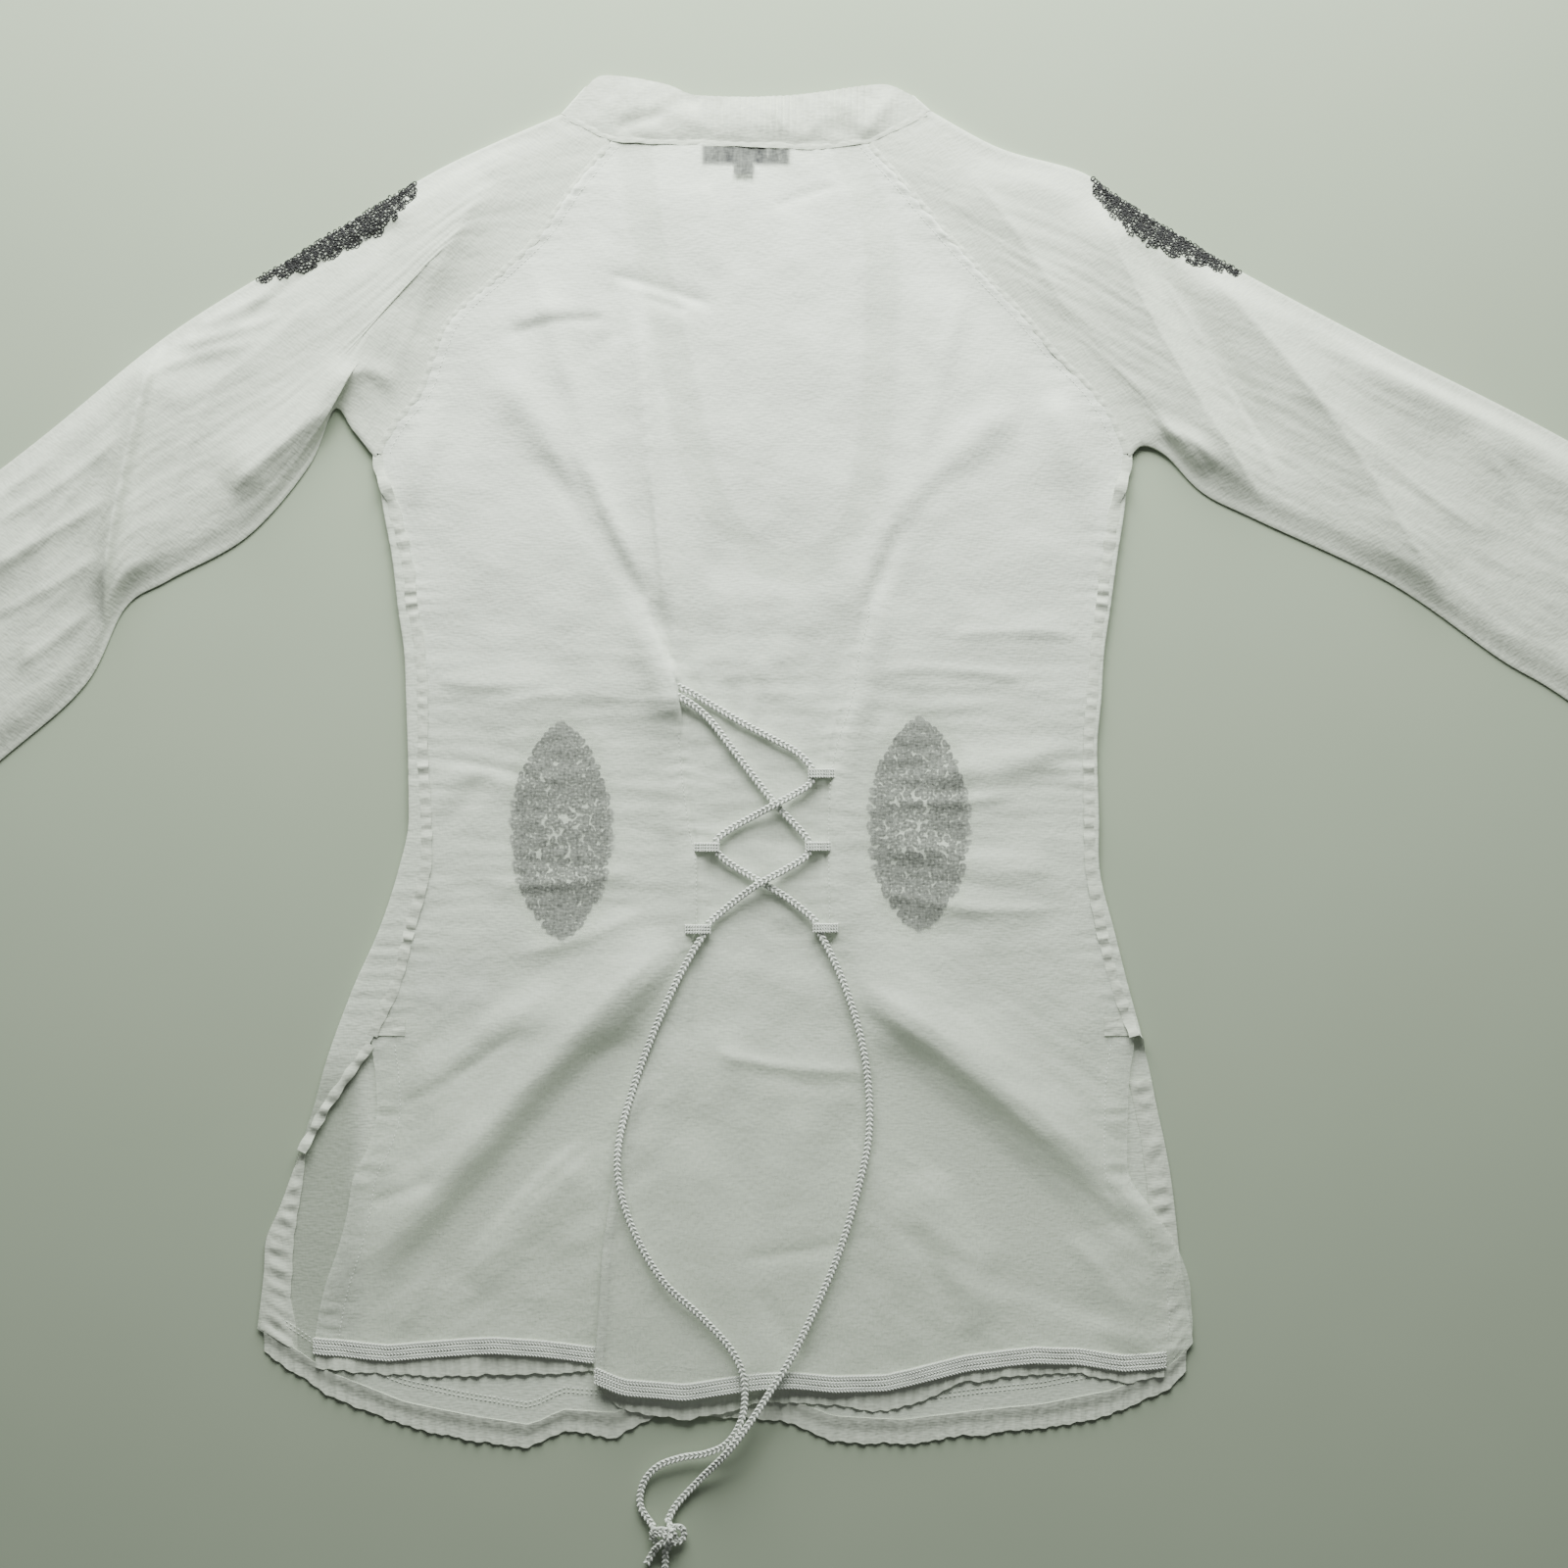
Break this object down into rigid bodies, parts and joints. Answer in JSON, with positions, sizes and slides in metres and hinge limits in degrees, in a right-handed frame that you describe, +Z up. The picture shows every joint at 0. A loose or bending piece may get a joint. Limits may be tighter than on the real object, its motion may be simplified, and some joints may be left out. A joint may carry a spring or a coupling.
{
  "type": "tunic blouse",
  "caption": "Light cotton tunic blouse laid flat, back side up, with raglan sleeves, laced back darts, side slits and a braided, ruffled hem.",
  "frame": {"origin": "on the table under the waist, where the front panel's underside rests, on the garment's middle line", "axes": "+X to the garment's right as seen with its back up, along both sleeves; +Y from the hem towards the collar; +Z up from the table"},
  "size_m": [1.241, 0.8835, 0.0169],
  "materials": {
    "cotton_voile": "thin woven cotton, matt",
    "cotton_braid": "mercerised braid, slight sheen",
    "cotton_cord": "flat braided cord, slight sheen",
    "dark_label": "dark woven tape",
    "care_tape": "pale satin tape"
  },
  "bodies": {
    "root": {"back_panel": "cotton_voile", "front_panel": "cotton_voile", "sleeve_left": "cotton_voile", "sleeve_right": "cotton_voile", "collar": "cotton_voile", "neck_facing": "cotton_voile", "slit_facing_left": "cotton_voile", "slit_facing_right": "cotton_voile", "slit_tab_left": "cotton_voile", "slit_tab_right": "cotton_voile", "hem_ruffle_left": "cotton_voile", "hem_ruffle_right": "cotton_voile", "hem_ruffle_front": "cotton_voile", "hem_braid_left": "cotton_braid", "hem_braid_right": "cotton_braid", "loop_right_top": "cotton_braid", "loop_right_middle": "cotton_braid", "loop_right_bottom": "cotton_braid", "loop_left_top": "cotton_braid", "loop_left_middle": "cotton_braid", "loop_left_bottom": "cotton_braid", "lace_a": "cotton_cord", "lace_b": "cotton_cord", "lace_knot": "cotton_cord", "lace_tail_left": "cotton_cord", "lace_tail_down": "cotton_cord", "neck_label": "dark_label", "hanger_loop": "dark_label", "care_label": "care_tape"}
  },
  "joints": []
}
